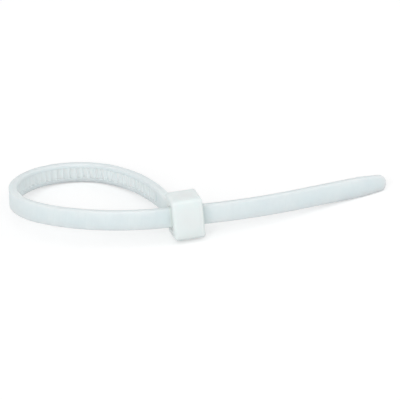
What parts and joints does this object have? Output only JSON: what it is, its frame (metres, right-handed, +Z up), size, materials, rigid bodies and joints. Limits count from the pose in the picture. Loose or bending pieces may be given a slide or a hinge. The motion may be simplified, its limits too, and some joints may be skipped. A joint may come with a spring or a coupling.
{
  "type": "cable tie",
  "caption": "Moulded nylon cable tie closed into a loop, its toothed strap held by the pawl in its head, with the free tail beyond the head.",
  "frame": {"origin": "centre of the lying tie's bounding box in plan, on the surface that it lies on", "axes": "+X from the loop towards the tip of the tail, the tie's longest extent as it lies; +Z up from the surface; the loop's own axis leans 5.7 degrees from +Z because the head is wider than the strap"},
  "size_m": [0.048, 0.0268, 0.0056],
  "materials": {
    "natural_nylon": "satin, milky and slightly translucent"
  },
  "bodies": {
    "root": {"cable_tie": "natural_nylon"}
  },
  "joints": []
}
